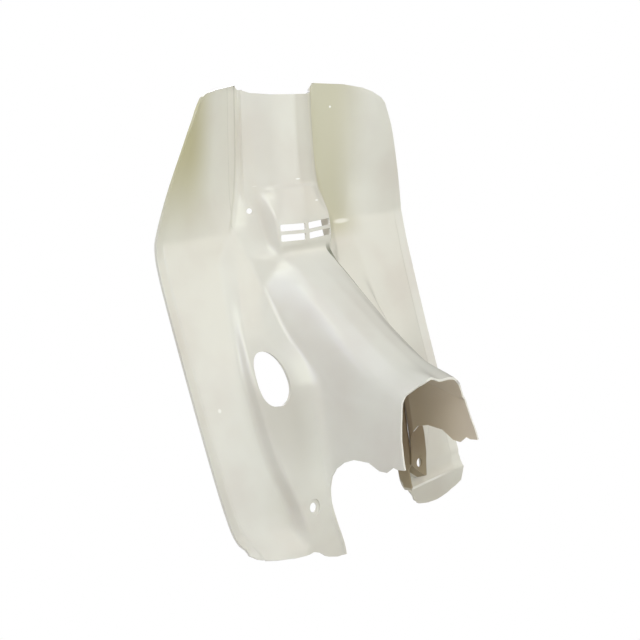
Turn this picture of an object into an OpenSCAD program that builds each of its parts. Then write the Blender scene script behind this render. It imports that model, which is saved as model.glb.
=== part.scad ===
// Leg shield of a small step-through scooter: one thin plastic moulding.
// Seen from the rider: x to the right, y forward, z up.
// The origin lies midway between the two lower bolt holes.

/* [Shield] */
// Height of the whole moulding
shield_h = 604; // [540:1:660]
// Width across both wings at the knee line
shield_w = 485; // [440:1:530]
// Depth from the mouth of the tunnel to the front of the wings
shield_d = 226; // [190:1:260]
// Thickness of the moulded wall
wall = 2.8; // [2.2:0.1:3.4]

/* [Fixings] */
// Distance between the two lower bolt holes
bolt_span = 225; // [215:1:235]
// Diameter of the lower bolt holes
bolt_hole_d = 12; // [8:0.5:14]
// Diameter of the round seats about the lower bolt holes
bolt_seat_d = 24; // [20:1:26]
// How far the seats stand above the panel
bolt_seat_rise = 1.6; // [1:0.1:2.4]
// Diameter of the small screw hole in the side of the steering cover
screw_hole_d = 7; // [4:0.5:9]

/* [Openings] */
// Height of the oval hole in the left panel
oval_h = 69; // [56:1:76]
// Width of the oval hole
oval_w = 37; // [30:1:42]
// Width of the group of four vent slots
vent_w = 98; // [84:1:100]
// Height of one vent slot
vent_slot_h = 8.5; // [6:0.5:9]
// Bar between the upper and the lower slots
vent_bar = 4.5; // [3:0.5:6]
// Bar between the left and the right slots
vent_post = 6; // [4:0.5:10]

/* [Hidden] */

over = 10;             // overrun of every cut
half_w = shield_w / 2;

// Heights are shares of shield_h below the top of the wings, sideways places
// are shares of half_w, and depths are shares of shield_d forward of the mouth.
bolt_level_share = 0.868;
bolt_depth_share = 0.532;
function level(share) = (bolt_level_share - share) * shield_h;
function across(share) = share * half_w;
function forward(share) = (share - bolt_depth_share) * shield_d;

// The lines that shape one half of the moulding, each from the top down:
// [height share, sideways share, depth share]
crown_shares = [ // middle line of the steering cover, louvre box and tunnel
    [0.00, 0, 0.800], [0.03, 0, 0.802], [0.15, 0, 0.822], [0.228, 0, 0.818], [0.29, 0, 0.805],
    [0.340, 0, 0.810], [0.352, 0, 0.818], [0.366, 0, 0.828], [0.382, 0, 0.785], [0.424, 0, 0.660],
    [0.481, 0, 0.511], [0.538, 0, 0.355], [0.581, 0, 0.227], [0.605, 0, 0.147], [0.636, 0, 0.000],
    [0.66, 0, -0.100], [0.70, 0, -0.130], [1.00, 0, -0.130]];
cheek_shares = [ // where the rounded crown begins to fall away
    [0.00, 0.148, 0.832], [0.15, 0.148, 0.852], [0.228, 0.148, 0.850], [0.29, 0.140, 0.812],
    [0.340, 0.140, 0.815], [0.366, 0.150, 0.832], [0.382, 0.150, 0.790], [0.434, 0.155, 0.660],
    [0.492, 0.157, 0.511], [0.550, 0.157, 0.355], [0.595, 0.157, 0.227], [0.618, 0.158, 0.147],
    [0.646, 0.160, 0.000], [0.67, 0.165, -0.090], [0.70, 0.170, -0.125], [1.00, 0.170, -0.125]];
shoulder_shares = [ // edge between the top and the side of cover and tunnel
    [0.00, 0.225, 0.885], [0.15, 0.225, 0.900], [0.228, 0.228, 0.895], [0.26, 0.220, 0.855],
    [0.29, 0.216, 0.822], [0.340, 0.212, 0.818], [0.366, 0.225, 0.836], [0.390, 0.245, 0.800],
    [0.455, 0.254, 0.660], [0.515, 0.256, 0.511], [0.580, 0.259, 0.355], [0.624, 0.254, 0.227],
    [0.648, 0.258, 0.147], [0.668, 0.270, 0.000], [0.70, 0.270, -0.100], [0.76, 0.275, -0.120],
    [1.00, 0.275, -0.120]];
side_shares = [ // middle of the side, then the crease between hood and skirt
    [0.00, 0.268, 0.922], [0.15, 0.272, 0.955], [0.228, 0.272, 0.950], [0.27, 0.250, 0.905],
    [0.31, 0.235, 0.885], [0.340, 0.230, 0.880], [0.366, 0.240, 0.845], [0.395, 0.272, 0.845],
    [0.424, 0.292, 0.830], [0.474, 0.292, 0.725], [0.533, 0.293, 0.600], [0.593, 0.295, 0.500],
    [0.628, 0.300, 0.450], [0.652, 0.302, 0.385], [0.667, 0.300, 0.268], [0.682, 0.298, 0.170], [0.702, 0.296, 0.028],
    [0.74, 0.308, -0.040], [0.788, 0.330, -0.060], [1.00, 0.330, -0.060]];
foot_shares = [ // valley between the side and the wing
    [0.00, 0.285, 0.932], [0.15, 0.296, 0.978], [0.228, 0.328, 1.000], [0.28, 0.372, 1.000],
    [0.305, 0.404, 0.988], [0.325, 0.385, 0.970], [0.345, 0.368, 0.945], [0.367, 0.352, 0.918],
    [0.424, 0.318, 0.864], [0.474, 0.312, 0.812], [0.533, 0.312, 0.722], [0.560, 0.313, 0.658],
    [0.593, 0.316, 0.594], [0.628, 0.320, 0.545], [0.711, 0.328, 0.508], [0.788, 0.335, 0.496], [0.868, 0.334, 0.506],
    [0.915, 0.310, 0.512], [0.965, 0.270, 0.514], [1.00, 0.255, 0.514]];
inset_shares = [ // inner border of the wing panel
    [0.00, 0.303, 0.921], [0.15, 0.320, 0.960], [0.228, 0.356, 0.985], [0.28, 0.400, 0.990],
    [0.305, 0.432, 0.980], [0.325, 0.415, 0.955], [0.345, 0.410, 0.930], [0.367, 0.402, 0.905],
    [0.424, 0.372, 0.845], [0.474, 0.365, 0.782], [0.533, 0.368, 0.702], [0.593, 0.376, 0.636],
    [0.628, 0.380, 0.600], [0.711, 0.385, 0.552], [0.788, 0.392, 0.530], [0.868, 0.392, 0.530],
    [0.915, 0.370, 0.531], [0.965, 0.335, 0.532], [1.00, 0.330, 0.532]];
ridge_shares = [ // outer border of the raised inner panel
    [0.00, 0.420, 0.880], [0.15, 0.460, 0.935], [0.228, 0.490, 0.965], [0.28, 0.500, 0.975],
    [0.305, 0.480, 0.974], [0.325, 0.440, 0.962], [0.345, 0.440, 0.940], [0.367, 0.460, 0.912],
    [0.404, 0.487, 0.893], [0.439, 0.515, 0.865], [0.500, 0.560, 0.820], [0.536, 0.581, 0.790],
    [0.588, 0.610, 0.735], [0.630, 0.618, 0.695], [0.707, 0.620, 0.640], [0.758, 0.622, 0.592],
    [0.797, 0.610, 0.552], [0.836, 0.572, 0.542], [0.868, 0.543, 0.539], [0.904, 0.525, 0.533],
    [0.960, 0.487, 0.545], [1.00, 0.480, 0.545]];
trough_shares = [ // inner foot of the trough along the wing
    [0.00, 0.520, 0.855], [0.15, 0.580, 0.915], [0.228, 0.620, 0.950], [0.28, 0.620, 0.968],
    [0.305, 0.600, 0.970], [0.325, 0.560, 0.967], [0.345, 0.550, 0.955], [0.367, 0.560, 0.946],
    [0.404, 0.573, 0.932], [0.439, 0.580, 0.915], [0.500, 0.592, 0.878], [0.536, 0.600, 0.850],
    [0.588, 0.628, 0.795], [0.630, 0.634, 0.755], [0.707, 0.638, 0.705], [0.758, 0.640, 0.668],
    [0.797, 0.628, 0.636], [0.836, 0.596, 0.620], [0.868, 0.570, 0.615], [0.904, 0.560, 0.600],
    [0.925, 0.552, 0.565], [0.960, 0.530, 0.528], [1.00, 0.530, 0.520]];
lip_shares = [ // foot of the lip along the outer edge
    [0.00, 0.660, 0.800], [0.05, 0.700, 0.790], [0.15, 0.790, 0.830], [0.228, 0.860, 0.880],
    [0.28, 0.910, 0.908], [0.305, 0.935, 0.914], [0.345, 0.955, 0.908], [0.394, 0.955, 0.895],
    [0.492, 0.932, 0.868], [0.593, 0.925, 0.822], [0.711, 0.920, 0.745], [0.788, 0.915, 0.690],
    [0.862, 0.890, 0.645], [0.892, 0.870, 0.610], [0.918, 0.850, 0.560], [0.945, 0.830, 0.525],
    [1.00, 0.800, 0.520]];
edge_shares = [ // free outer edge
    [0.00, 0.735, 0.766], [0.044, 0.740, 0.766], [0.110, 0.817, 0.790], [0.196, 0.906, 0.846],
    [0.284, 0.976, 0.902], [0.341, 1.000, 0.910], [0.400, 0.998, 0.885], [0.587, 0.985, 0.784],
    [0.770, 0.974, 0.680], [0.862, 0.960, 0.622], [0.890, 0.945, 0.595], [0.907, 0.915, 0.575],
    [1.00, 0.870, 0.540]];
LINES = [crown_shares, cheek_shares, shoulder_shares, side_shares, foot_shares, inset_shares,
    ridge_shares, trough_shares, lip_shares, edge_shares];
FOOT = 4;   // place of the foot line in LINES
TROUGH = 7; // place of the trough line in LINES

// How far each bend spreads along the panels beside it, in the order of LINES,
// as shares of half_w
bend_shares = [0, 0.14, 0.05, 0.066, 0.033, 0.037, 0.029, 0.037, 0.029, 0];
bend_limit_share = 0.45;

// Stations across one half: [line, place in the bend from 0 to 1], and a
// third figure for a place on the flat that follows the bend
STATIONS = [[0, 0], [1, 0], [1, 0.5], [1, 1], [2, 0], [2, 0.33], [2, 0.67], [2, 1], [3, 0], [3, 0.5],
    [3, 1], [4, 0], [4, 0.33], [4, 0.67], [4, 1], [5, 0], [5, 1], [5, 1, 0.5], [6, 0], [6, 0.5], [6, 1],
    [7, 0], [7, 0.5], [7, 1], [7, 1, 0.33], [7, 1, 0.67], [8, 0], [8, 0.5], [8, 1], [9, 0]];

// On the right the raised panel stops at a slanting edge, and the floor of the
// trough runs on below it to an end wall
slant_shares = [[0, 0.870], [0.346, 0.870], [0.524, 0.905], [1, 0.905]];
tray_end_shares = [[0.86, 0.350, 0.606], [0.89, 0.358, 0.606], [0.912, 0.368, 0.592],
    [0.935, 0.385, 0.560], [0.955, 0.410, 0.535], [1.00, 0.450, 0.530]];
tray_mix_shares = [0, 0.12, 0.75, 1]; // foot, inset, ridge and trough along the tray

// Levels of the sections, as shares of the height
top_zone_share = 0.10;
bottom_zone_share = 0.80;
step_above_share = 0.45;  // rows of the bottom zone just above and just
step_below_share = 0.55;  // below the slanting edge
step_rise_share = 0.004;
function steps(from, to, count) = [for (i = [0:count - 1]) from + (to - from) * i / count];
BOTTOM_ROWS = [0, 0.15, 0.30, step_above_share, step_below_share, 0.70, 0.85, 1];
LEVELS = concat(steps(0, 0.20, 7), steps(0.20, 0.30, 6), steps(0.30, 0.40, 9), steps(0.40, 0.80, 17),
    [for (u = BOTTOM_ROWS) bottom_zone_share + (1 - bottom_zone_share) * u]);

// Smooth curve through a table, read at one height share
function slot(table, s) = max([for (i = [0:len(table) - 2]) if (table[i][0] <= s) i]);
function slope(table, i) =
    let (a = table[max(i - 1, 0)], b = table[min(i + 1, len(table) - 1)]) (b - a) / (b[0] - a[0]);
function blend(table, i, t) =
    let (a = table[i], b = table[i + 1], d = b[0] - a[0], ma = slope(table, i), mb = slope(table, i + 1))
    (2 * t^3 - 3 * t^2 + 1) * a + (t^3 - 2 * t^2 + t) * d * ma
    + (3 * t^2 - 2 * t^3) * b + (t^3 - t^2) * d * mb;
function along(table, s) =
    let (c = min(max(s, table[0][0]), table[len(table) - 1][0]), i = slot(table, c))
    blend(table, i, (c - table[i][0]) / (table[i + 1][0] - table[i][0]));

function tray_point(k, s) =
    let (a = along(tray_end_shares, s), b = along(LINES[TROUGH], s), m = tray_mix_shares[k - FOOT])
    a + (b - a) * m;
function corner(k, s, low) =
    let (p = low && k >= FOOT && k <= TROUGH ? tray_point(k, s) : along(LINES[k], s))
    [across(p[1]), forward(p[2])];
function towards(p, q, reach) = let (d = norm(q - p)) p + (q - p) * min(reach / d, bend_limit_share);
function bend(k, t, s, low) =
    k == 0 || k == len(LINES) - 1 ? corner(k, s, low)
    : let (p = corner(k, s, low), a = towards(p, corner(k - 1, s, low), bend_shares[k] * half_w),
           b = towards(p, corner(k + 1, s, low), bend_shares[k] * half_w))
      (1 - t)^2 * a + 2 * t * (1 - t) * p + t^2 * b;
function station(i, s, low = false) =
    let (q = STATIONS[i])
    len(q) == 2 ? bend(q[0], q[1], s, low)
    : bend(q[0], 1, s, low) * (1 - q[2]) + bend(q[0] + 1, 0, s, low) * q[2];

// Height of the top and bottom borders at each station
left_top_shares = [[0, 0.030], [0.148, 0.028], [0.24, 0.022], [0.285, 0.012], [0.303, 0.004],
    [0.5, 0.015], [0.62, 0.024], [0.68, 0.033], [0.72, 0.047], [0.74, 0.064], [1, 0.064]];
right_top_shares = [[0, 0.030], [0.148, 0.028], [0.24, 0.022], [0.285, 0.012], [0.303, 0], [0.5, 0.008],
    [0.62, 0.018], [0.68, 0.028], [0.72, 0.041], [0.74, 0.060], [1, 0.060]];
left_bottom_shares = [[0, 0.985], [0.273, 0.985], [0.305, 0.989], [0.342, 0.9895], [0.411, 0.981],
    [0.453, 0.967], [0.494, 0.960], [0.560, 0.958], [0.632, 0.954], [0.753, 0.942], [0.855, 0.929],
    [0.90, 0.915], [1, 0.905]];
right_bottom_shares = [[0, 0.920], [0.335, 0.930], [0.355, 0.942], [0.39, 0.955], [0.43, 0.962],
    [0.494, 0.969], [0.560, 0.968], [0.632, 0.963], [0.753, 0.950], [0.855, 0.935], [0.90, 0.919],
    [1, 0.906]];
function across_share(i, s) = station(i, s)[0] / half_w;
function top_of(i, side) = lookup(across_share(i, 0), side > 0 ? right_top_shares : left_top_shares);
function bottom_of(i, side) =
    lookup(across_share(i, 0.94), side > 0 ? right_bottom_shares : left_bottom_shares);
function slant_of(i) = lookup(across_share(i, bolt_level_share), slant_shares);
function height_share(i, s, side) =
    s < top_zone_share ? let (t = top_of(i, side)) t + (top_zone_share - t) * s / top_zone_share
    : s > bottom_zone_share ?
        let (u = (s - bottom_zone_share) / (1 - bottom_zone_share), e = slant_of(i))
        lookup(u, [[0, bottom_zone_share], [step_above_share, e - step_rise_share],
            [step_below_share, e + step_rise_share], [1, bottom_of(i, side)]])
    : s;

half_count = len(STATIONS) - 1;
tray_row = len(LEVELS) - len(BOTTOM_ROWS) + 4; // first row below the slanting edge
cols = 2 * half_count + 1;
rows = len(LEVELS);
function vertex(r, c) =
    let (side = c < half_count ? -1 : 1, i = abs(c - half_count), s = height_share(i, LEVELS[r], side),
         p = station(i, s, side > 0 && r >= tray_row))
    [side * p[0], p[1], level(s)];

function unit(v) = v / norm(v);
function facing(g, r, c) =
    unit(cross(g[r][min(c + 1, cols - 1)] - g[r][max(c - 1, 0)],
               g[max(r - 1, 0)][c] - g[min(r + 1, rows - 1)][c]));

// Closed sheet: the seen face, and a back face one wall behind it
module sheet() {
    face = [for (r = [0:rows - 1]) [for (c = [0:cols - 1]) vertex(r, c)]];
    back = [for (r = [0:rows - 1]) [for (c = [0:cols - 1]) face[r][c] - wall * facing(face, r, c)]];
    points = concat([for (row = face) each row], [for (row = back) each row]);
    total = rows * cols;
    function at(r, c) = r * cols + c;
    front_faces = [for (r = [0:rows - 2], c = [0:cols - 2], h = [0, 1])
        h == 0 ? [at(r, c), at(r, c + 1), at(r + 1, c + 1)] : [at(r, c), at(r + 1, c + 1), at(r + 1, c)]];
    back_faces = [for (f = front_faces) [total + f[2], total + f[1], total + f[0]]];
    ends = [for (r = [0, rows - 1], c = [0:cols - 2], h = [0, 1])
        let (a = at(r, c), b = at(r, c + 1), f = h == 0 ? [a, a + total, b + total] : [a, b + total, b])
        r == 0 ? f : [f[2], f[1], f[0]]];
    sides = [for (c = [0, cols - 1], r = [0:rows - 2], h = [0, 1])
        let (a = at(r, c), b = at(r + 1, c), f = h == 0 ? [a, b, b + total] : [a, b + total, a + total])
        c == 0 ? f : [f[2], f[1], f[0]]];
    polyhedron(points, concat(front_faces, back_faces, ends, sides));
}

// Space below and behind the tunnel: [depth share, height share] along its
// notched lower edge, then down the inner edges of the two leg panels
mouth_shares = [[-0.30, 0.60], [0, 0.60], [0, 0.790], [0.049, 0.789], [0.076, 0.785], [0.120, 0.797],
    [0.169, 0.795], [0.236, 0.780], [0.333, 0.777], [0.408, 0.785], [0.461, 0.799], [0.488, 0.815],
    [0.504, 0.840], [0.511, 0.868], [0.511, 1.10], [-0.30, 1.10]];
module under_tunnel() {
    width = half_w;
    translate([-width / 2, 0, 0]) rotate([90, 0, 90]) linear_extrude(width)
        polygon([for (p = mouth_shares) [forward(p[0]), level(p[1])]]);
}

// Four vent slots, their outer ends a little higher
vent_level_share = 0.320;
vent_tilt = 2.4;
module vents() {
    slot_w = (vent_w - vent_post) / 2;
    for (side = [-1, 1], row = [-1, 1])
        translate([side * vent_post / 2, 0, level(vent_level_share)]) rotate([0, -side * vent_tilt, 0])
            translate([side * slot_w / 2, shield_d / 4, row * (vent_bar + vent_slot_h) / 2])
                cube([slot_w, shield_d / 2, vent_slot_h], center = true);
}

// Oval hole in the left panel, its upper end leaning inward
oval_across_share = 0.525;
oval_level_share = 0.601;
oval_lean = -15;
oval_fullness = 0.84; // below one the oval is squarer than an ellipse
oval_points = 40;
function rounded(v) = sign(v) * pow(abs(v), oval_fullness);
module oval_hole() {
    translate([-across(oval_across_share), shield_d / 2, level(oval_level_share)]) rotate([90, 0, 0])
        linear_extrude(shield_d) rotate(oval_lean)
            polygon([for (i = [0:oval_points - 1]) let (a = 360 * i / oval_points)
                [oval_w / 2 * rounded(cos(a)), oval_h / 2 * rounded(sin(a))]]);
}

module bolt_seat(side) {
    translate([side * bolt_span / 2, wall, 0]) rotate([90, 0, 0])
        cylinder(d = bolt_seat_d, h = wall + bolt_seat_rise, $fn = 48);
}

module bolt_hole(side) {
    translate([side * bolt_span / 2, wall + over, 0]) rotate([90, 0, 0])
        cylinder(d = bolt_hole_d, h = wall + bolt_seat_rise + 2 * over, $fn = 48);
}

// Small screw hole low on the left side of the steering cover
screw_across_share = 0.272;
screw_depth_share = 0.968;
screw_level_share = 0.264;
screw_turn = 49;
module screw_hole() {
    translate([-across(screw_across_share), forward(screw_depth_share), level(screw_level_share)])
        rotate([0, 0, -screw_turn]) rotate([90, 0, 0])
            cylinder(d = screw_hole_d, h = 2 * over, center = true, $fn = 32);
}

module leg_shield() {
    color("ivory") difference() {
        union() {
            sheet();
            bolt_seat(-1);
            bolt_seat(1);
        }
        under_tunnel();
        vents();
        oval_hole();
        bolt_hole(-1);
        bolt_hole(1);
        screw_hole();
    }
}

leg_shield();
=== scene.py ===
import math

import bpy
from mathutils import Matrix, Vector


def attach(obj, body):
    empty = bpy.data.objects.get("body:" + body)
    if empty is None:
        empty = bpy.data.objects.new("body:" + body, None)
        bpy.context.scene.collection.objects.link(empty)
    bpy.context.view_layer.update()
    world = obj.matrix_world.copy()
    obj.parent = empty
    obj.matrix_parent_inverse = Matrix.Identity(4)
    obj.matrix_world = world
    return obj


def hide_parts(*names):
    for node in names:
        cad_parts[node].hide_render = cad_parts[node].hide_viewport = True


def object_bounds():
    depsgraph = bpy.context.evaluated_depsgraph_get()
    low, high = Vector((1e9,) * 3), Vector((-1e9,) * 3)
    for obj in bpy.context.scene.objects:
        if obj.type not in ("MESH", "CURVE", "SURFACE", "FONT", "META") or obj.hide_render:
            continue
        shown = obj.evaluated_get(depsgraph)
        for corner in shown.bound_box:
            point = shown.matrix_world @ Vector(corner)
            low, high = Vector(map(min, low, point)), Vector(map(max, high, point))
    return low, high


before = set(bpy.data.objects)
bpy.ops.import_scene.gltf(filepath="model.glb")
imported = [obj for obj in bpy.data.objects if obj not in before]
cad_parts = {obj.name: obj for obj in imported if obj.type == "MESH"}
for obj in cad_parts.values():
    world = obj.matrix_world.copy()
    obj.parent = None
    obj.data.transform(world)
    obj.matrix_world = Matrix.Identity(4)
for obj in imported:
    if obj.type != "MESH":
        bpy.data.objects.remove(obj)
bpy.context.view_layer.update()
print("frame loaded")

# One thin moulding, seen from the rider: x to the right, y forward, z up.
# Heights are shares of the height below the top of the wings, sideways places are shares
# of half the width, and depths are shares of the depth forward of the tunnel's mouth.
shield = {
    "height": 0.604,
    "width": 0.485,
    "depth": 0.226,
    "wall": 0.0028,
    "boltLevel": 0.868,
    "boltDepth": 0.532,
    "rows": [(0, 0.20, 30), (0.20, 0.37, 60), (0.37, 0.80, 76)],  # from, to, faces
    "lowRows": 36,
    "merge": 0.00002,
    "sharpAngle": 38,
}

# Lines that shape one half, each from the top down: height, sideways, depth
crownLine = [  # middle of the steering cover, louvre box and tunnel
    (0.00, 0, 0.800), (0.03, 0, 0.802), (0.15, 0, 0.822), (0.218, 0, 0.822), (0.226, 0, 0.811),
    (0.29, 0, 0.803), (0.336, 0, 0.805), (0.345, 0, 0.810), (0.352, 0, 0.818), (0.360, 0, 0.820),
    (0.366, 0, 0.813), (0.382, 0, 0.780), (0.424, 0, 0.660),
    (0.481, 0, 0.511), (0.538, 0, 0.355), (0.581, 0, 0.227), (0.605, 0, 0.147), (0.636, 0, 0.000),
    (0.66, 0, -0.100), (0.70, 0, -0.130), (1.00, 0, -0.130)]
cheekLine = [  # where the rounded crown begins to fall away
    (0.00, 0.148, 0.832), (0.15, 0.148, 0.852), (0.216, 0.148, 0.852), (0.225, 0.148, 0.840),
    (0.26, 0.142, 0.819), (0.29, 0.140, 0.809), (0.336, 0.140, 0.809), (0.345, 0.142, 0.813),
    (0.352, 0.140, 0.820), (0.360, 0.136, 0.822), (0.368, 0.128, 0.813), (0.385, 0.110, 0.774),
    (0.430, 0.108, 0.656), (0.487, 0.112, 0.511), (0.545, 0.112, 0.355), (0.588, 0.120, 0.227),
    (0.612, 0.128, 0.147), (0.641, 0.140, 0.000), (0.665, 0.142, -0.100), (0.70, 0.145, -0.125),
    (1.00, 0.145, -0.125)]
shoulderLine = [  # edge between the top and the side
    (0.00, 0.225, 0.885), (0.15, 0.225, 0.900), (0.228, 0.228, 0.895), (0.26, 0.220, 0.855),
    (0.29, 0.216, 0.822), (0.340, 0.212, 0.816), (0.366, 0.192, 0.822), (0.390, 0.168, 0.764),
    (0.410, 0.178, 0.720), (0.430, 0.193, 0.680), (0.487, 0.207, 0.556), (0.545, 0.224, 0.432),
    (0.590, 0.238, 0.312), (0.625, 0.252, 0.190), (0.661, 0.264, 0.000), (0.69, 0.268, -0.100),
    (0.76, 0.272, -0.120), (1.00, 0.272, -0.120)]
sideLine = [  # middle of the side, then the crease between hood and skirt
    (0.00, 0.268, 0.922), (0.15, 0.272, 0.955), (0.228, 0.272, 0.950), (0.27, 0.252, 0.925),
    (0.31, 0.240, 0.905), (0.340, 0.232, 0.885), (0.366, 0.240, 0.845), (0.395, 0.268, 0.852),
    (0.424, 0.288, 0.843), (0.474, 0.292, 0.765), (0.533, 0.293, 0.655), (0.593, 0.295, 0.525),
    (0.628, 0.300, 0.450), (0.652, 0.302, 0.385), (0.667, 0.300, 0.268), (0.682, 0.298, 0.170),
    (0.702, 0.296, 0.028), (0.74, 0.308, -0.040), (0.788, 0.330, -0.060), (1.00, 0.330, -0.060)]
footLine = [  # valley between the side and the wing
    (0.00, 0.285, 0.932), (0.15, 0.296, 0.972), (0.228, 0.328, 0.975), (0.26, 0.355, 0.973),
    (0.28, 0.374, 0.969), (0.305, 0.396, 0.963), (0.325, 0.382, 0.950), (0.345, 0.368, 0.935),
    (0.367, 0.352, 0.914),
    (0.424, 0.318, 0.880), (0.474, 0.312, 0.812), (0.533, 0.312, 0.722), (0.560, 0.313, 0.658),
    (0.593, 0.316, 0.594), (0.628, 0.320, 0.545), (0.711, 0.328, 0.508), (0.788, 0.335, 0.496),
    (0.868, 0.334, 0.506), (0.915, 0.310, 0.512), (0.965, 0.270, 0.514), (1.00, 0.255, 0.514)]
insetLine = [  # inner border of the wing panel
    (0.00, 0.340, 0.915), (0.15, 0.352, 0.955), (0.228, 0.378, 0.971), (0.28, 0.412, 0.969),
    (0.305, 0.426, 0.965), (0.325, 0.415, 0.951), (0.345, 0.408, 0.936), (0.367, 0.402, 0.917),
    (0.424, 0.386, 0.880), (0.474, 0.390, 0.840), (0.533, 0.402, 0.761), (0.593, 0.412, 0.660),
    (0.628, 0.422, 0.618), (0.711, 0.438, 0.580), (0.788, 0.435, 0.533), (0.868, 0.405, 0.524),
    (0.915, 0.370, 0.531), (0.965, 0.335, 0.532), (1.00, 0.330, 0.532)]
ridgeLine = [  # outer border of the raised inner panel
    (0.00, 0.400, 0.896), (0.15, 0.402, 0.947), (0.228, 0.406, 0.970), (0.28, 0.440, 0.969),
    (0.305, 0.446, 0.966), (0.322, 0.440, 0.956), (0.345, 0.446, 0.938), (0.367, 0.460, 0.915),
    (0.404, 0.487, 0.893), (0.439, 0.515, 0.865), (0.500, 0.560, 0.820), (0.536, 0.581, 0.790),
    (0.588, 0.610, 0.735), (0.630, 0.618, 0.695), (0.707, 0.620, 0.640), (0.758, 0.622, 0.592),
    (0.797, 0.610, 0.552), (0.836, 0.572, 0.542), (0.868, 0.543, 0.539), (0.904, 0.525, 0.533),
    (0.960, 0.487, 0.545), (1.00, 0.480, 0.545)]
troughLine = [  # inner foot of the trough along the wing
    (0.00, 0.520, 0.855), (0.15, 0.560, 0.919), (0.228, 0.570, 0.957), (0.28, 0.530, 0.967),
    (0.305, 0.505, 0.966), (0.322, 0.490, 0.960), (0.333, 0.505, 0.955), (0.345, 0.530, 0.950),
    (0.367, 0.560, 0.938),
    (0.404, 0.573, 0.918), (0.439, 0.580, 0.896), (0.500, 0.592, 0.860), (0.536, 0.600, 0.835),
    (0.588, 0.628, 0.786), (0.630, 0.634, 0.755), (0.707, 0.638, 0.705), (0.758, 0.640, 0.668),
    (0.797, 0.628, 0.636), (0.836, 0.596, 0.620), (0.868, 0.570, 0.615), (0.904, 0.560, 0.600),
    (0.925, 0.552, 0.565), (0.960, 0.530, 0.528), (1.00, 0.530, 0.520)]
lipLine = [  # inner border of the rim along the outer edge
    (0.00, 0.690, 0.795), (0.044, 0.695, 0.797), (0.110, 0.760, 0.812), (0.196, 0.845, 0.862),
    (0.25, 0.892, 0.897), (0.29, 0.920, 0.921), (0.305, 0.928, 0.928), (0.32, 0.932, 0.925),
    (0.36, 0.934, 0.911), (0.400, 0.932, 0.897), (0.587, 0.919, 0.802), (0.770, 0.908, 0.698),
    (0.862, 0.893, 0.640), (0.890, 0.875, 0.610), (0.918, 0.850, 0.562), (0.945, 0.830, 0.525),
    (1.00, 0.800, 0.520)]
edgeLine = [  # free outer edge
    (0.00, 0.735, 0.766), (0.044, 0.740, 0.766), (0.110, 0.817, 0.790), (0.196, 0.906, 0.846),
    (0.25, 0.953, 0.881), (0.29, 0.982, 0.905), (0.305, 0.990, 0.911), (0.32, 0.996, 0.908),
    (0.345, 0.9985, 0.902), (0.400, 0.997, 0.880), (0.587, 0.985, 0.784),
    (0.770, 0.974, 0.680), (0.862, 0.960, 0.622), (0.890, 0.945, 0.595), (0.907, 0.915, 0.575),
    (1.00, 0.870, 0.540)]
lines = [crownLine, cheekLine, shoulderLine, sideLine, footLine, insetLine, ridgeLine,
         troughLine, lipLine, edgeLine]
footPlace, troughPlace = 4, 7
bendSpread = [  # metres beside each line, by height share, the side after the line last
    [(0, 0, 0)],
    [(0.21, 0.034, 0.034), (0.24, 0.014, 0.014), (0.36, 0.010, 0.010), (0.41, 0.006, 0.005),
     (0.58, 0.006, 0.005), (0.65, 0.012, 0.008)],
    [(0.21, 0.014, 0.014), (0.24, 0.004, 0.004), (0.37, 0.004, 0.004), (0.40, 0.006, 0.006),
     (0.46, 0.012, 0.020)],
    [(0.40, 0.006, 0.006), (0.60, 0.004, 0.004), (0.65, 0.005, 0.005), (0.70, 0.018, 0.018)],
    [(0.58, 0.004, 0.004), (0.70, 0.024, 0.020)],
    [(0.36, 0.014, 0.014), (0.42, 0.040, 0.040)],
    [(0, 0.004, 0.004)], [(0, 0.005, 0.005)], [(0, 0.002, 0.002)], [(0, 0, 0)]]
bendSteps = [0, 7, 6, 5, 4, 7, 5, 5, 4, 0]  # faces round each bend
flatSteps = [4, 2, 3, 4, 5, 8, 3, 11, 3]  # faces on the flat after each line
bendLimit = 0.45  # of the way to the next line

# On the right the raised panel stops at a slanting edge, and the trough's floor runs on below
slantEdge = [(0, 0.863), (0.346, 0.863), (0.524, 0.906), (1, 0.906)]
trayEnd = [(0.86, 0.350, 0.606), (0.89, 0.358, 0.606), (0.912, 0.368, 0.592), (0.935, 0.385, 0.560),
           (0.955, 0.410, 0.535), (1.00, 0.450, 0.530)]
trayMix = [0, 0.12, 0.75, 1]  # how far each line lies from the tray's end to the trough
trayHold = 0.886  # the right tray's floor keeps its depth below this
plainRight = [(0.30, 0), (0.335, 1), (0.44, 1), (0.53, 0)]  # how far the right panel is levelled
leftTop = [(0, 0.030), (0.148, 0.028), (0.24, 0.022), (0.285, 0.012), (0.303, 0.004), (0.5, 0.015),
           (0.62, 0.024), (0.68, 0.033), (0.72, 0.047), (0.74, 0.064), (1, 0.064)]
rightTop = [(0, 0.030), (0.148, 0.028), (0.24, 0.022), (0.285, 0.012), (0.303, 0.0015), (0.5, 0.008),
            (0.62, 0.018), (0.68, 0.028), (0.72, 0.041), (0.74, 0.060), (1, 0.060)]
leftBottom = [(0, 0.985), (0.273, 0.985), (0.305, 0.989), (0.342, 0.989), (0.411, 0.981),
              (0.453, 0.967), (0.494, 0.960), (0.560, 0.958), (0.632, 0.954), (0.753, 0.942),
              (0.855, 0.929), (0.90, 0.915), (1, 0.905)]
rightBottom = [(0, 0.918), (0.335, 0.922), (0.36, 0.933), (0.39, 0.941), (0.431, 0.951),
               (0.469, 0.960), (0.54, 0.974), (0.629, 0.984), (0.714, 0.9875), (0.795, 0.983),
               (0.863, 0.972), (0.937, 0.948), (1, 0.925)]
# The right tray swells towards the rider as far as a crease, then leans away
trayCrease = {"at": 0.927, "from": 0.898, "swell": 0.006, "turn": 0.32}


def level(share):
    return (shield["boltLevel"] - share) * shield["height"]


def across(share):
    return share * shield["width"] / 2


def forward(share):
    return (share - shield["boltDepth"]) * shield["depth"]


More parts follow.
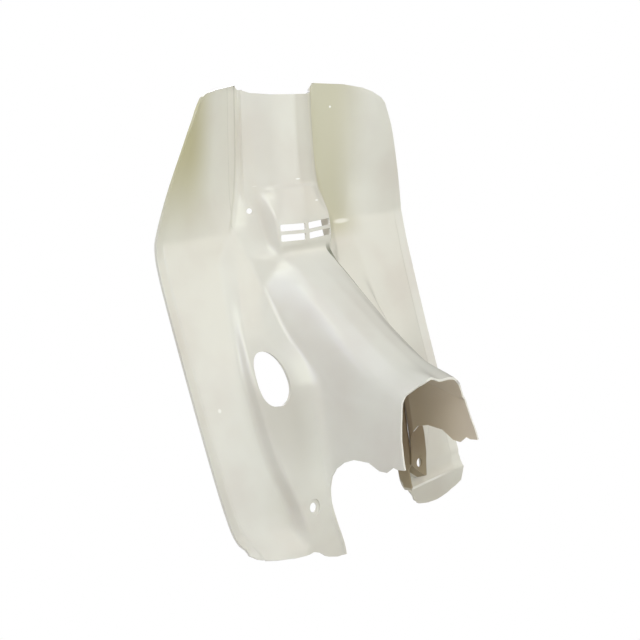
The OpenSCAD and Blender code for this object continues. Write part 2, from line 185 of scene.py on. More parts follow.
def lookup(table, x, n=1):
    if x <= table[0][0]:
        return table[0][n]
    for a, b in zip(table, table[1:]):
        if x <= b[0]:
            return a[n] + (b[n] - a[n]) * (x - a[0]) / (b[0] - a[0])
    return table[-1][n]


def along(table, s):  # smooth curve through a line's points
    s = min(max(s, table[0][0]), table[-1][0])
    i = max(k for k in range(len(table) - 1) if table[k][0] <= s)
    a, b = table[i], table[i + 1]
    before, after = table[max(i - 1, 0)], table[min(i + 2, len(table) - 1)]
    d = b[0] - a[0]
    t = (s - a[0]) / d
    out = []
    for n in (1, 2):
        slopeA = (b[n] - before[n]) / (b[0] - before[0])
        slopeB = (after[n] - a[n]) / (after[0] - a[0])
        out.append((2 * t**3 - 3 * t**2 + 1) * a[n] + (t**3 - 2 * t**2 + t) * d * slopeA
                   + (3 * t**2 - 2 * t**3) * b[n] + (t**3 - t**2) * d * slopeB)
    return out


def corner(k, s, low, side):
    if side > 0 and footPlace < k < troughPlace and plainRight[0][0] < s < plainRight[-1][0]:
        p, a, b = (along(lines[n], s) for n in (k, footPlace, troughPlace))
        flat = a[1] + (b[1] - a[1]) * (p[0] - a[0]) / (b[0] - a[0])
        p = [p[0], p[1] + (flat - p[1]) * lookup(plainRight, s)]
    elif low and footPlace <= k <= troughPlace:
        a, b = along(trayEnd, s), along(troughLine, s)
        c, d = along(trayEnd, min(s, trayHold)), along(troughLine, min(s, trayHold))
        m = trayMix[k - footPlace]
        p = [a[0] + (b[0] - a[0]) * m, c[1] + (d[1] - c[1]) * m]
    else:
        p = along(lines[k], s)
    if side > 0 and k > troughPlace and s > trayHold:
        p = along(lines[k], trayHold)
    elif side > 0 and s > trayHold and k == troughPlace:
        p[1] = along(troughLine, trayHold)[1]
    return Vector((across(p[0]), forward(p[1])))


def section(s, low, side=-1):  # points of one half's section at a height, middle first
    corners = [corner(k, s, low, side) for k in range(len(lines))]
    starts, ends = [corners[0]], [corners[0]]
    for k in range(1, len(lines) - 1):
        for q, out, n in ((corners[k - 1], starts, 1), (corners[k + 1], ends, 2)):
            way = q - corners[k]
            spread = lookup(bendSpread[k], s, n)
            out.append(corners[k] + way * min(spread / max(way.length, 1e-6), bendLimit))
    starts.append(corners[-1])
    ends.append(corners[-1])
    points = [corners[0]]
    for k in range(len(lines) - 1):
        for n in range(1, flatSteps[k] + 1):
            points.append(ends[k].lerp(starts[k + 1], n / flatSteps[k]))
        for n in range(1, bendSteps[k + 1] + 1):
            t = n / bendSteps[k + 1]
            points.append(starts[k + 1] * (1 - t)**2 + corners[k + 1] * 2 * t * (1 - t)
                          + ends[k + 1] * t**2)
    return points


halfCount = sum(flatSteps) + sum(bendSteps)
topReach, lowReach = 0.10, 0.80  # the borders bend the rows above and below these heights
slantRows, slantRise = (0.47, 0.53), 0.003  # rows just above and below the slanting edge
lowBorder = 0.94  # height at which the lower borders are read across
rowPlaces = [a + (b - a) * r / n for a, b, n in shield["rows"] for r in range(n)]
half = shield["lowRows"] // 2
rowPlaces += [lowReach + (1 - lowReach) * (slantRows[0] * r / half) for r in range(half + 1)]
trayRow = len(rowPlaces)
rowPlaces += [lowReach + (1 - lowReach) * (slantRows[1] + (1 - slantRows[1]) * r / half)
              for r in range(half + 1)]
topX = [p.x / across(1) for p in section(0, False)]
boltX = [p.x / across(1) for p in section(shield["boltLevel"], False)]
lowX = [p.x / across(1) for p in section(lowBorder, False)]

linePlace = [0.0]  # which line each column lies at, 3.5 being midway from the fourth to the fifth
for k in range(len(lines) - 1):
    linePlace += [k + 0.25 + 0.5 * n / flatSteps[k] for n in range(1, flatSteps[k] + 1)]
    linePlace += [k + 0.75 + 0.5 * n / bendSteps[k + 1] for n in range(1, bendSteps[k + 1] + 1)]

# Two small steps down from the wing to the foot of the steering cover
coverSteps = {
    "foot": 0.003,
    "slope": (0.003, 0.013),
    "line": 0.0015,
    "lineAt": (0.0962, 0.0986),
    "fade": (0.285, 0.318),
    "lines": (3.3, 3.9),
}
# A small step along the rim of the lip
lipStep = {"rise": 0.0012, "after": 7.9, "lines": (7.95, 8.2), "below": (0.29, 0.34)}
# A small peak and dip in the tunnel's rim
mouthPeak = {"at": -0.013, "width": 0.009, "reach": 0.010, "dip": 0.002, "dipAt": 0.008,
             "from": (0.600, 0.640), "lineTo": 2.2}


def smooth(a, b, x):
    t = min(max((x - a) / (b - a), 0), 1)
    return t * t * (3 - 2 * t)


def relief(i, s, x, side):  # how far forward a place is set from the plain sheet
    if side > 0 and s > trayCrease["from"]:
        swell = min((s - trayCrease["from"]) / (trayCrease["at"] - trayCrease["from"]), 1)
        away = max(s - trayCrease["at"], 0) * shield["height"] * trayCrease["turn"]
        return away - trayCrease["swell"] * swell * swell
    if linePlace[i] < mouthPeak["lineTo"]:
        rise = smooth(*mouthPeak["from"], s)
        peak = math.exp(-((side * x - mouthPeak["at"]) / mouthPeak["width"])**2)
        dip = math.exp(-((side * x - mouthPeak["dipAt"]) / mouthPeak["width"])**2)
        return rise * (mouthPeak["dip"] * dip - mouthPeak["reach"] * peak)
    if linePlace[i] < coverSteps["lines"][0]:
        return 0
    if linePlace[i] > lipStep["after"]:
        return lipStep["rise"] * smooth(*lipStep["lines"], linePlace[i]) * smooth(*lipStep["below"], s)
    fade = 1 - smooth(*coverSteps["fade"], s)
    if side > 0 or fade <= 0:
        return 0
    footX = across(along(footLine, s)[0])
    low = coverSteps["slope"]
    out = coverSteps["foot"] * (1 - smooth(footX + low[0], footX + low[1], x))
    out += coverSteps["line"] * (1 - smooth(*coverSteps["lineAt"], x))
    return out * fade * smooth(*coverSteps["lines"], linePlace[i])


archLifts = {  # metres up at the mouth by line place
    -1: [(0, 0.002), (1, 0.004), (1.8, 0.003), (2.2, 0), (3, 0)],
    1: [(0, 0.002), (1.2, 0.001), (1.7, -0.004), (2.3, -0.008), (3, 0)],
}
archFrom = (0.56, 0.65)


def archLift(i, s, side):
    return lookup(archLifts[side], linePlace[i]) * smooth(*archFrom, s) if linePlace[i] < 3 else 0


def heightShare(i, s, side):
    if s < topReach:
        t = lookup(rightTop if side > 0 else leftTop, topX[i])
        return t + (topReach - t) * s / topReach
    if s > lowReach:
        u = (s - lowReach) / (1 - lowReach)
        e = lookup(slantEdge, boltX[i])
        b = lookup(rightBottom if side > 0 else leftBottom, lowX[i])
        return lookup([(0, lowReach), (slantRows[0], e - slantRise), (slantRows[1], e + slantRise),
                       (1, b)], u)
    return s


def select(o):
    bpy.ops.object.select_all(action="DESELECT")
    o.select_set(True)
    bpy.context.view_layer.objects.active = o


def makeSheet():
    cols, rows = 2 * halfCount + 1, len(rowPlaces)
    bpy.ops.object.select_all(action="DESELECT")
    bpy.ops.mesh.primitive_grid_add(x_subdivisions=cols - 1, y_subdivisions=rows - 1, size=1)
    sheet = bpy.context.object
    sheet.name = "leg_shield_moulding"
    places = []
    for r, s in enumerate(rowPlaces):
        sections = {}
        for c in range(cols):
            side, i = (-1 if c < halfCount else 1), abs(c - halfCount)
            share = heightShare(i, s, side)
            low = side > 0 and r >= trayRow
            key = (round(share, 6), low, side)
            if key not in sections:
                sections[key] = section(share, low, side)
            p = sections[key][i]
            places += [side * p.x, p.y + relief(i, share, p.x, side),
                       level(share) + archLift(i, share, side)]
    if len(sheet.data.vertices) != cols * rows:
        raise RuntimeError("the grid has %d points, not %d" % (len(sheet.data.vertices), cols * rows))
    sheet.data.vertices.foreach_set("co", places)
    for slot in range(3):  # the seen face, the inside and the rim, filled by paintMoulding
        sheet.data.materials.append(None)
    bpy.ops.object.mode_set(mode="EDIT")
    bpy.ops.mesh.select_all(action="SELECT")
    bpy.ops.mesh.flip_normals()
    bpy.ops.object.mode_set(mode="OBJECT")
    return sheet


moulding = makeSheet()
print("sheet shaped:", len(moulding.data.polygons), "faces")

# Openings: sizes in metres, and the places of the vents and the screw hole as shares
openings = {
    "boltSpan": 0.225,
    "boltBore": [(0.0105, -0.006), (0.0105, 0.0002), (0.006, 0.0008), (0.006, 0.02)],  # radius, depth
    "screwHole": 0.007,
    "ovalHeight": 0.0665,
    "ovalWidth": 0.0395,
    "ovalPlace": (-0.1245, 0.161),
    "ovalLean": -9,
    "ovalFullness": 0.84,  # below one the oval is squarer than an ellipse
    "ovalPoints": 72,
    "ovalCut": (-0.05, 0.15),  # how far the cutters reach, y
    "slotCut": (0.03, 0.12),
    "ventWidth": 0.098,
    "slotHeight": 0.0085,
    "ventBar": 0.0045,
    "ventPost": 0.006,
    "ventLevel": 0.320,
    "ventTilt": 2.4,
    "slotCorner": 0.0018,
    "boltSides": 48,
    "screwPlace": (0.272, 0.968, 0.264),  # sideways, depth and height shares
    "screwTurn": -49,
    "screwSides": 32,
    "screwCut": 0.03,
}
# The space cut away under the tunnel, as shares
underCut = {"middle": 0.02, "side": 0.5, "behind": -0.30, "top": 0.600, "bottom": 1.10}
mouthEdge = {  # depth and height down the edge of the mouth on either side
    -1: [(0, 0.632), (0.016, 0.641), (0.030, 0.650), (0.033, 0.662), (0.031, 0.684), (0.029, 0.707),
         (0.027, 0.735), (0.014, 0.765), (0.002, 0.789)],
    1: [(0, 0.640), (0.002, 0.650), (0.012, 0.656), (0.036, 0.664), (0.044, 0.676), (0.036, 0.707),
        (0.024, 0.735), (0.008, 0.765), (0, 0.789)],
}
lowerEdge = {
    -1: [(0.049, 0.789), (0.076, 0.785), (0.120, 0.797), (0.169, 0.795), (0.236, 0.780),
         (0.333, 0.777), (0.408, 0.785), (0.461, 0.799), (0.488, 0.815), (0.504, 0.840),
         (0.508, 0.855), (0.511, 0.868), (0.511, underCut["bottom"])],
    1: [(0.049, 0.789), (0.076, 0.785), (0.120, 0.797), (0.169, 0.793), (0.236, 0.772),
        (0.333, 0.764), (0.408, 0.768), (0.461, 0.785), (0.482, 0.806), (0.490, 0.836),
        (0.494, 0.858), (0.524, 0.874), (0.524, underCut["bottom"])],
}


def loft(name, outlines):  # closed body through outlines of as many points each
    mesh = bpy.data.meshes.new(name)
    n, last = len(outlines[0]), len(outlines[0]) * (len(outlines) - 1)
    points = [p for outline in outlines for p in outline]
    faces = [list(range(n)), list(range(last + n - 1, last - 1, -1))]
    for a in range(0, last, n):
        faces += [[a + (i + 1) % n, a + i, a + n + i, a + n + (i + 1) % n] for i in range(n)]
    mesh.from_pydata(points, [], faces)
    o = bpy.data.objects.new(name, mesh)
    bpy.context.collection.objects.link(o)
    select(o)
    bpy.ops.object.mode_set(mode="EDIT")
    bpy.ops.mesh.select_all(action="SELECT")
    bpy.ops.mesh.normals_make_consistent(inside=False)
    bpy.ops.object.mode_set(mode="OBJECT")
    return o


def prism(name, outline, a, b):  # between two copies of an outline
    return loft(name, [[Vector(p) + Vector(way) for p in outline] for way in (a, b)])


def roundedSlot(w, h, r, n=5):
    points = []
    for cx, cz, a in ((w / 2 - r, h / 2 - r, 0), (-w / 2 + r, h / 2 - r, 90),
                      (-w / 2 + r, -h / 2 + r, 180), (w / 2 - r, -h / 2 + r, 270)):
        for k in range(n + 1):
            t = math.radians(a + 90 * k / n)
            points.append((cx + r * math.cos(t), cz + r * math.sin(t)))
    return points


# Flange turned forward along the inner edge of the right panel: height, sideways, depths
flange = {
    "wall": 0.0026,
    "places": [(0.665, 0.326, 0.535, 0.556), (0.70, 0.330, 0.510, 0.590), (0.75, 0.335, 0.504, 0.604),
               (0.80, 0.339, 0.501, 0.608), (0.84, 0.341, 0.502, 0.608), (0.868, 0.346, 0.512, 0.607)],
}


def makeFlange():
    outlines = []
    for s, x, back, front in flange["places"]:
        a, b, h = across(x) - flange["wall"] / 2, across(x) + flange["wall"] / 2, level(s)
        outlines.append([(a, forward(back), h), (b, forward(back), h),
                         (b, forward(front), h), (a, forward(front), h)])
    return loft("flange", outlines)


def makeCutters():
    under = []
    for side, place in ((-1, "side"), (-1, "middle"), (1, "middle"), (1, "side")):
        x = side * underCut[place]
        edge = [(underCut["behind"], underCut["top"]), (0, underCut["top"])]
        edge += mouthEdge[side] + lowerEdge[side] + [(underCut["behind"], underCut["bottom"])]
        under.append([(across(x), forward(d), level(h)) for d, h in edge])
    cutters = [loft("cutUnder", under)]
    oval = []
    lean = math.radians(openings["ovalLean"])
    ovalX, ovalZ = openings["ovalPlace"]
    full = openings["ovalFullness"]
    for k in range(openings["ovalPoints"]):
        a = 2 * math.pi * k / openings["ovalPoints"]
        u = openings["ovalWidth"] / 2 * math.copysign(abs(math.cos(a))**full, math.cos(a))
        v = openings["ovalHeight"] / 2 * math.copysign(abs(math.sin(a))**full, math.sin(a))
        oval.append((ovalX + u * math.cos(lean) - v * math.sin(lean), 0,
                     ovalZ + u * math.sin(lean) + v * math.cos(lean)))
    cutters.append(prism("cutOval", oval, *[(0, y, 0) for y in openings["ovalCut"]]))
    slotWide = (openings["ventWidth"] - openings["ventPost"]) / 2
    for side in (-1, 1):
        for row in (-1, 1):
            t = math.radians(openings["ventTilt"]) * side
            x0 = side * slotWide / 2
            z0 = row * (openings["ventBar"] + openings["slotHeight"]) / 2
            slot = []
            for u, v in roundedSlot(slotWide, openings["slotHeight"], openings["slotCorner"]):
                x, z = x0 + u, z0 + v
                slot.append((side * openings["ventPost"] / 2 + x * math.cos(t) - z * math.sin(t), 0,
                             level(openings["ventLevel"]) + x * math.sin(t) + z * math.cos(t)))
            cutters.append(prism("cutSlot", slot, *[(0, y, 0) for y in openings["slotCut"]]))
    turns = [2 * math.pi * k / openings["boltSides"] for k in range(openings["boltSides"])]
    for side in (-1, 1):
        bore, x = [], side * openings["boltSpan"] / 2
        for r, y in openings["boltBore"]:
            bore.append([(x + r * math.cos(a), y, r * math.sin(a)) for a in turns])
        cutters.append(loft("cutBolt", bore))
    sideways, deep, high = openings["screwPlace"]
    bpy.ops.mesh.primitive_cylinder_add(vertices=openings["screwSides"], radius=openings["screwHole"] / 2,
                                        depth=openings["screwCut"],
                                        location=(-across(sideways), forward(deep), level(high)),
                                        rotation=(math.pi / 2, 0, math.radians(openings["screwTurn"])))
    cutters.append(bpy.context.object)
    bpy.ops.object.select_all(action="DESELECT")
    for o in cutters:
        o.select_set(True)
    bpy.context.view_layer.objects.active = cutters[0]
    bpy.ops.object.join()
    bpy.ops.object.transform_apply(location=True, rotation=True, scale=True)
    return bpy.context.object


# Which faces count as the mouth's rim
mouthRim = {"behind": -0.085, "below": 0.15, "sidesBelow": 0.12, "facing": -0.9, "square": 0.01}


def markRim(mesh):  # the mouth's rim takes its own material
    for face in mesh.polygons:
        y, z = face.center[1:]
        n = face.normal
        atMouth = y < mouthRim["behind"] and z < mouthRim["below"] and abs(n.x) < mouthRim["square"]
        if atMouth and (n.y < mouthRim["facing"] or z < mouthRim["sidesBelow"]):
            face.material_index = 2


def finishMoulding(sheet):
    cutter = makeCutters()
    select(sheet)
    wall = sheet.modifiers.new("wall", "SOLIDIFY")
    wall.thickness = shield["wall"]
    wall.offset = -1
    wall.use_rim = True
    wall.material_offset = 1
    bpy.ops.object.modifier_apply(modifier="wall")
    cut = sheet.modifiers.new("openings", "BOOLEAN")
    cut.operation = "DIFFERENCE"
    cut.solver = "MANIFOLD"
    cut.object = cutter
    bpy.ops.object.modifier_apply(modifier="openings")
    plate = makeFlange()
    select(sheet)
    add = sheet.modifiers.new("flange", "BOOLEAN")
    add.operation = "UNION"
    add.solver = "MANIFOLD"
    add.object = plate
    bpy.ops.object.modifier_apply(modifier="flange")
    for o in (cutter, plate):
        bpy.data.objects.remove(o, do_unlink=True)
    select(sheet)
    bpy.ops.object.mode_set(mode="EDIT")
    bpy.ops.mesh.select_all(action="SELECT")
    bpy.ops.mesh.remove_doubles(threshold=shield["merge"])
    bpy.ops.object.mode_set(mode="OBJECT")
    bpy.ops.object.shade_smooth_by_angle(angle=math.radians(shield["sharpAngle"]))
    markRim(sheet.data)


finishMoulding(moulding)
print("moulding cut:", len(moulding.data.polygons), "faces")


def linear(hexColour):
    out = []
    for k in (1, 3, 5):
        v = int(hexColour[k:k + 2], 16) / 255
        out.append(v / 12.92 if v <= 0.04045 else ((v + 0.055) / 1.055)**2.4)
    return (*out, 1)


def node(tree, kind, links=(), **settings):  # adds a node; links are (input, output socket)
    n = tree.nodes.new(kind)
    for name, value in settings.items():
        if hasattr(n, name):
            setattr(n, name, value)
    for name, value in links:
        if isinstance(value, bpy.types.NodeSocket):
            tree.links.new(value, n.inputs[name])
        else:
            n.inputs[name].default_value = value
    return n


# Ivory polypropylene, injection moulded: a soft gloss, faintly cloudy, with yellow-tinted painted shade
# high on the wings
ivory = {
    "base": "#e3e2da",
    "cloud": "#dcd8d0",
    "cloudRange": (0.35, 0.7),
    # painted shade, tinted yellow, high on the outer left wing
    "paintedShade": "#c6c19e",
    # painted shade on the right wing beside the steering cover
    "paintedShadeRight": "#cbc8b2",
    "shadeFrom": (-0.12, -0.19),  # x where the painted shade starts and where it is full
    "shadeRightBeside": (0.170, 0.100),  # and the painted shade on the right, towards the steering cover
    "shadeRightBesideFrom": (0.055, 0.075),
    "shadeAbove": (0.32, 0.45),
    "shadeRightAbove": (0.305, 0.335),
    "roughness": 0.27,
    "ior": 1.49,
    "paintedPanelShade": "#c9c4ba",  # painted shade in the hollow of the left knee panel
    "panelShadePlace": (-0.128, 0.02, 0.12),
    "panelShadeReach": (0.045, 0.2, 0.11),
    "panelShadeStrength": 0.6,
    "shadeLine": "#6c705f",  # painted shade: a dark line down the right of the tunnel
    "shadeLineAcross": ((0.0620, 0.0640), (0.0730, 0.0700)),  # x where it starts and ends
    "shadeLineLean": 0.08,
    "shadeLineHeight": ((0.125, 0.15), (0.315, 0.30)),
    "shadeLineStrength": 0.85,
    "creaseHighlight": "#fbfaf6",  # painted highlight: white along the crease of the right tray
    "creaseHighlightHeight": ((-0.0385, -0.0368), (-0.0338, -0.0354)),
    "creaseHighlightAcross": ((0.084, 0.090), (0.205, 0.16)),
    "rim": "#f1efe8",  # painted highlight: the cut edge of the tunnel's mouth, paler than the skin
    "specksAndHighlights": [  # centre, radii, colour, strength: a dark nick, two pale dots and painted highlights
        ((-0.073, -0.026, 0.0895), (0.0026, 0.02, 0.0026), "#8d877c", 0.8),
        ((-0.2015, 0.054, 0.137), (0.0034, 0.03, 0.0034), "#f6f5f0", 0.9),
        ((0.100, 0.079, 0.491), (0.0022, 0.03, 0.0022), "#ffffff", 1.0),
        # painted highlights along the top edge of the louvre box
        ((-0.062, 0.068, 0.395), (0.005, 0.03, 0.0016), "#ffffff", 0.8),
        ((-0.003, 0.063, 0.399), (0.005, 0.03, 0.0014), "#ffffff", 0.8),
        ((0.028, 0.064, 0.369), (0.005, 0.03, 0.0016), "#ffffff", 0.8),
        # painted highlight on the right knee fold
        ((0.113, 0.098, 0.3355), (0.022, 0.05, 0.0045), "#fffefa", 0.55),
    ],
    "cloudSize": 0.11,
    "grainSize": 0.0011,  # drawn coarser than moulded grain, which is too fine to show
    "grain": 0.04,
    "grainDepth": 0.0002,
}
# The same plastic on its hidden face: duller, with painted shade inside the tunnel, browner and darker
# deeper in
insideFace = {
    "base": "#d6d1c5",
    "paintedTunnelShade": "#cfc4b2",
    # painted shade deep in the tunnel
    "deep": "#a1937a",
    "deepFrom": (-0.118, -0.02),  # y
    "tunnelTo": (0.0840, 0.0800),  # x
    "tunnelAhead": (0.045, 0.015),  # y
    "roughness": 0.5,
}
# Brown and matt on the right knee panel behind the tunnel and on the flange beside it, darker high up
brownPatch = {
    "base": "#85745a",
    "thin": "#a3967c",
    "thinBelow": (0.045, -0.035),  # z
    "fadesAbove": (0.13, 0.095),
    "panelTo": (0.1325, 0.1305),  # x
    "panelAhead": (0.0135, 0.0115),  # y
    "panelAbove": (-0.0300, -0.0285),  # z, clear of the tray's crease
    "flangeTo": (0.0870, 0.0858),  # x
    "start": (0.060, 0.070),  # x
    "depth": ((-0.020, -0.016), (0.030, 0.026)),  # y
    "roughness": 0.6,
}


def rgbMix(t, factor, a, b):  # colour sockets or fixed colours mixed by a factor
    n = node(t, "ShaderNodeMix", data_type="RGBA")
    for name, value in (("Factor", factor), ("A", a), ("B", b)):
        for socket in n.inputs:
            if socket.name == name and (socket.type == "RGBA") == (name != "Factor"):
                if isinstance(value, bpy.types.NodeSocket):
                    t.links.new(value, socket)
                else:
                    socket.default_value = value
                break
    return [k for k in n.outputs if k.type == "RGBA"][0]


def ramp(t, value, a, b):  # 0 at a, 1 at b, held beyond them
    n = node(t, "ShaderNodeMapRange", [("Value", value), ("From Min", a), ("From Max", b)],
             interpolation_type="SMOOTHSTEP")
    return n.outputs["Result"]


def times(t, a, b):
    return node(t, "ShaderNodeMath", [(0, a), (1, b)], operation="MULTIPLY").outputs["Value"]


def band(t, value, rise, fall):  # 1 between two ramps
    return times(t, ramp(t, value, *rise), ramp(t, value, *fall))


def newMaterial(name):
    m = bpy.data.materials.new(name)
    m.use_nodes = True
    m.node_tree.nodes.clear()
    t = m.node_tree
    coords = node(t, "ShaderNodeTexCoord").outputs["Object"]
    split = node(t, "ShaderNodeSeparateXYZ", [("Vector", coords)])
    return m, t, coords, split.outputs


def finishMaterial(t, coords, colour, roughness):  # fine moulded grain under the gloss
    fine = node(t, "ShaderNodeTexNoise", [("Vector", coords), ("Scale", 1 / ivory["grainSize"]),
                                          ("Detail", 2.0)])
    bump = node(t, "ShaderNodeBump", [("Height", fine.outputs["Fac"]), ("Strength", ivory["grain"]),
                                      ("Distance", ivory["grainDepth"])])
    shader = node(t, "ShaderNodeBsdfPrincipled", [("Base Color", colour), ("Roughness", roughness),
                                                  ("IOR", ivory["ior"]),
                                                  ("Normal", bump.outputs["Normal"])])
    node(t, "ShaderNodeOutputMaterial", [("Surface", shader.outputs["BSDF"])])


def spot(t, coords, centre, radii):  # 1 in the middle of an egg-shaped region, 0 outside it
    placed = node(t, "ShaderNodeVectorMath", [(0, coords), (1, centre)], operation="SUBTRACT")
    sized = node(t, "ShaderNodeVectorMath", [(0, placed.outputs["Vector"]), (1, radii)],
                 operation="DIVIDE")
    far = node(t, "ShaderNodeVectorMath", [(0, sized.outputs["Vector"])], operation="LENGTH")
    return ramp(t, far.outputs["Value"], 1.0, 0.35)


def ivoryColour(t, coords, place):
    cloud = node(t, "ShaderNodeTexNoise", [("Vector", coords), ("Scale", 1 / ivory["cloudSize"]),
                                           ("Detail", 3.0)]).outputs["Fac"]
    colour = rgbMix(t, ramp(t, cloud, *ivory["cloudRange"]), linear(ivory["base"]), linear(ivory["cloud"]))
    # painted shade, tinted yellow, high on the outer left wing
    leftShade = times(t, ramp(t, place["X"], *ivory["shadeFrom"]), ramp(t, place["Z"], *ivory["shadeAbove"]))
    colour = rgbMix(t, leftShade, colour, linear(ivory["paintedShade"]))
    # painted shade on the right wing beside the steering cover
    rightShade = band(t, place["X"], ivory["shadeRightBeside"], ivory["shadeRightBesideFrom"])
    rightShade = times(t, rightShade, ramp(t, place["Z"], *ivory["shadeRightAbove"]))
    colour = rgbMix(t, rightShade, colour, linear(ivory["paintedShadeRight"]))
    # painted shade in the hollow of the left knee panel
    panelShade = spot(t, coords, ivory["panelShadePlace"], ivory["panelShadeReach"])
    colour = rgbMix(t, times(t, panelShade, ivory["panelShadeStrength"]), colour, linear(ivory["paintedPanelShade"]))
    # specks, and painted highlights on the louvre box and the right knee fold
    for centre, radii, mark, strength in ivory["specksAndHighlights"]:
        mask = times(t, spot(t, coords, centre, radii), strength)
        colour = rgbMix(t, mask, colour, linear(mark))
    # painted shade: a dark line down the right of the tunnel
    leaning = node(t, "ShaderNodeMath", [(0, place["Z"]), (1, ivory["shadeLineLean"]), (2, place["X"])],
                   operation="MULTIPLY_ADD").outputs["Value"]
    line = band(t, leaning, *ivory["shadeLineAcross"])
    line = times(t, line, band(t, place["Z"], *ivory["shadeLineHeight"]))
    colour = rgbMix(t, times(t, line, ivory["shadeLineStrength"]), colour, linear(ivory["shadeLine"]))
    # painted highlight: white along the crease of the right tray
    creaseHighlight = times(t, band(t, place["Z"], *ivory["creaseHighlightHeight"]), band(t, place["X"], *ivory["creaseHighlightAcross"]))
    return rgbMix(t, creaseHighlight, colour, linear(ivory["creaseHighlight"]))


# where the brown patch lies: the right knee panel and the flange, fading out above
def brownPatchMask(t, place):
    panel = times(t, ramp(t, place["X"], *brownPatch["panelTo"]), ramp(t, place["Y"], *brownPatch["panelAhead"]))
    panel = times(t, panel, ramp(t, place["Z"], *brownPatch["panelAbove"]))
    wall = ramp(t, place["X"], *brownPatch["flangeTo"])
    mask = node(t, "ShaderNodeMath", [(0, panel), (1, wall)], operation="MAXIMUM").outputs["Value"]
    mask = times(t, mask, ramp(t, place["X"], *brownPatch["start"]))
    mask = times(t, mask, ramp(t, place["Z"], *brownPatch["fadesAbove"]))
    return times(t, mask, band(t, place["Y"], *brownPatch["depth"]))


def brownPatchColour(t, place):
    thin = ramp(t, place["Z"], *brownPatch["thinBelow"])
    return rgbMix(t, thin, linear(brownPatch["base"]), linear(brownPatch["thin"]))


def ivoryPlastic():
    m, t, coords, place = newMaterial("ivoryPolypropyleneMoulded")
    mask = brownPatchMask(t, place)
    colour = rgbMix(t, mask, ivoryColour(t, coords, place), brownPatchColour(t, place))
    rough = node(t, "ShaderNodeMath", [(0, mask), (1, brownPatch["roughness"] - ivory["roughness"]),
                                       (2, ivory["roughness"])], operation="MULTIPLY_ADD")
    finishMaterial(t, coords, colour, rough.outputs["Value"])
    return m


# The mouth's rim: paler than the skin, a painted highlight
def rimPlastic():
    m, t, coords = newMaterial("polypropyleneRimPaintedHighlight")[:3]
    finishMaterial(t, coords, linear(ivory["rim"]), ivory["roughness"])
    return m


def insidePlastic():
    m, t, coords, place = newMaterial("paintedTunnelShadePolypropyleneInside")
    # painted shade inside the tunnel, browner and darker deeper in
    paintedTunnelShade = rgbMix(t, ramp(t, place["Y"], *insideFace["deepFrom"]), linear(insideFace["paintedTunnelShade"]),
                   linear(insideFace["deep"]))
    wide = node(t, "ShaderNodeMath", [(0, place["X"])], operation="ABSOLUTE").outputs["Value"]
    ahead = ramp(t, place["Y"], *insideFace["tunnelAhead"])
    tunnel = times(t, ramp(t, wide, *insideFace["tunnelTo"]), ahead)
    colour = rgbMix(t, tunnel, linear(insideFace["base"]), paintedTunnelShade)
    colour = rgbMix(t, brownPatchMask(t, place), colour, brownPatchColour(t, place))
    finishMaterial(t, coords, colour, insideFace["roughness"])
    return m


def paintMoulding(piece):
    for index, make in enumerate((ivoryPlastic, insidePlastic, rimPlastic)):
        piece.data.materials[index] = make()


paintMoulding(moulding)
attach(moulding, "root")
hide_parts("leg_shield")
print("materials set")

studio = {
    "floorDrop": 0.004,
    "floorSize": 12,
    "floorColour": "#e8e8e6",
    "skyColour": "#f4f3f0",
    "skyLight": 0.04,
    "distance": 2.2,
    "softbox": (1.3, 1.3),
    "lamps": [  # name, degrees to the right of straight behind the rider, degrees up, watts, colour
        ("keySoftbox", -30, 42, 24, "#f8ffe8"),
        ("upperLeftSoftbox", -60, 42, 14, "#ccd0fb"),
        ("lowerLeftSoftbox", -60, 10, 4, "#ffe6c8"),
        ("lowFill", 30, 8, 8, "#ffffff"),
        ("rightFill", 60, 22, 7, "#fff0dd"),
        ("overheadSoftbox", 10, 74, 7, "#efe8ff"),
        ("backLeftFill", -145, 35, 16, "#f6f4ee"),
        ("backRightFill", 150, 30, 18, "#f4f6ff"),
    ],
}


def makeFloor():
    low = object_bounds()[0][2] - studio["floorDrop"]
    bpy.ops.mesh.primitive_plane_add(size=studio["floorSize"], location=(0, 0, low))
    floor = bpy.context.object
    floor.name = "studioFloor"
    m = bpy.data.materials.new("paleFloor")
    m.use_nodes = True
    t = m.node_tree
    t.nodes.clear()
    path = node(t, "ShaderNodeLightPath")
    white = node(t, "ShaderNodeEmission", [("Color", (1, 1, 1, 1)), ("Strength", 1.0)])
    paint = node(t, "ShaderNodeBsdfDiffuse", [("Color", linear(studio["floorColour"]))])
    seen = node(t, "ShaderNodeMixShader", [(0, path.outputs["Is Camera Ray"]),
                                           (1, paint.outputs["BSDF"]), (2, white.outputs["Emission"])])
    node(t, "ShaderNodeOutputMaterial", [("Surface", seen.outputs["Shader"])])
    floor.data.materials.append(m)


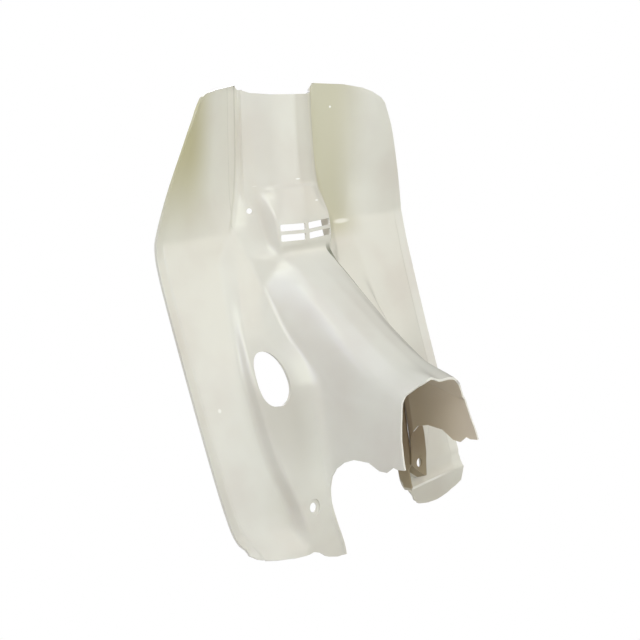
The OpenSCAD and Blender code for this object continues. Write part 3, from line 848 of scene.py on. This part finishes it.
def makeWorld():
    w = bpy.data.worlds.new("studioWorld")
    bpy.context.scene.world = w
    w.use_nodes = True
    t = w.node_tree
    t.nodes.clear()
    path = node(t, "ShaderNodeLightPath")
    sky = node(t, "ShaderNodeBackground", [("Color", linear(studio["skyColour"])),
                                           ("Strength", studio["skyLight"])])
    white = node(t, "ShaderNodeBackground", [("Color", (1, 1, 1, 1)), ("Strength", 1.0)])
    seen = node(t, "ShaderNodeMixShader", [(0, path.outputs["Is Camera Ray"]),
                                           (1, sky.outputs["Background"]),
                                           (2, white.outputs["Background"])])
    node(t, "ShaderNodeOutputWorld", [("Surface", seen.outputs["Shader"])])


def makeLamp(name, turn, rise, power, colour):
    a, e = math.radians(turn), math.radians(rise)
    way = Vector((math.sin(a) * math.cos(e), -math.cos(a) * math.cos(e), math.sin(e)))
    bpy.ops.object.light_add(type="AREA", location=Vector((0, 0, 0.22)) + way * studio["distance"])
    lamp = bpy.context.object
    lamp.name = name
    lamp.data.shape = "RECTANGLE"
    lamp.data.size, lamp.data.size_y = studio["softbox"]
    lamp.data.energy = power
    lamp.data.color = linear(colour)[:3]
    lamp.rotation_euler = way.to_track_quat("Z", "Y").to_euler()


makeFloor()
makeWorld()
for lampSettings in studio["lamps"]:
    makeLamp(*lampSettings)
print("studio lit")


# Where the photograph was taken from
photoCamera = {
    "place": (-1.1763, -0.9561, 0.3996),
    "right": (0.6398, -0.7619, -0.1007),
    "up": (0.1556, 0.0, 0.9878),
    "ahead": (0.7527, 0.6476, -0.1185),
    "lens": 67.5,
    "sensor": 36,
}


def makeCamera():
    right, up, ahead = (Vector(photoCamera[way]) for way in ("right", "up", "ahead"))
    data = bpy.data.cameras.new("photoCamera")
    data.lens = photoCamera["lens"]
    data.sensor_width = photoCamera["sensor"]
    o = bpy.data.objects.new("photoCamera", data)
    bpy.context.collection.objects.link(o)
    turn = Matrix((right, up, -ahead)).transposed().to_4x4()
    o.matrix_world = Matrix.Translation(photoCamera["place"]) @ turn
    bpy.context.scene.camera = o


makeCamera()
view = bpy.context.scene.view_settings
view.view_transform = "Standard"
